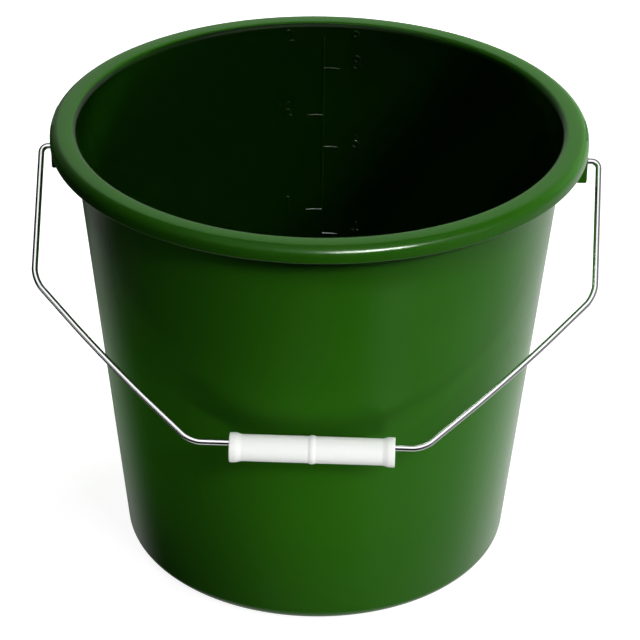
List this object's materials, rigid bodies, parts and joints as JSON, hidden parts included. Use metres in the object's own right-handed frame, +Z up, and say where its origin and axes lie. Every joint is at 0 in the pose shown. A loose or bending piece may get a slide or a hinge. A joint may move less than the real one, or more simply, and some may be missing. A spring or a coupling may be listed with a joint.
{
  "type": "bucket",
  "caption": "Round tapered plastic bucket with a turned-over rim, under-rim ears, a swinging shouldered wire bail and a loose tube grip, for carrying water, feed or soil.",
  "frame": {"origin": "on the bucket's axis, in the plane of the standing ring", "axes": "+Z up along the bucket's axis, X through the two ears, -Y to the side where the bail hangs at rest"},
  "size_m": [0.2886, 0.274, 0.239],
  "materials": {
    "shell_plastic": "satin-gloss moulded green",
    "bail_wire": "bright zinc-plated drawn wire",
    "grip_plastic": "moulded white"
  },
  "bodies": {
    "bucket": {"bucket_shell": "shell_plastic"},
    "bail": {"wire_bail": "bail_wire"},
    "grip": {"hand_grip": "grip_plastic"}
  },
  "joints": [
    {"name": "bail_swing", "type": "hinge", "parent": "bucket", "child": "bail", "pos_m": [0, 0, 0.2204], "axis": [-1, 0, 0], "range_deg": [0, 259.97]},
    {"name": "grip_spin", "type": "hinge", "parent": "bail", "child": "grip", "pos_m": [0.0028, -0.12144, 0.11855], "axis": [1, 0, 0], "continuous": true}
  ]
}
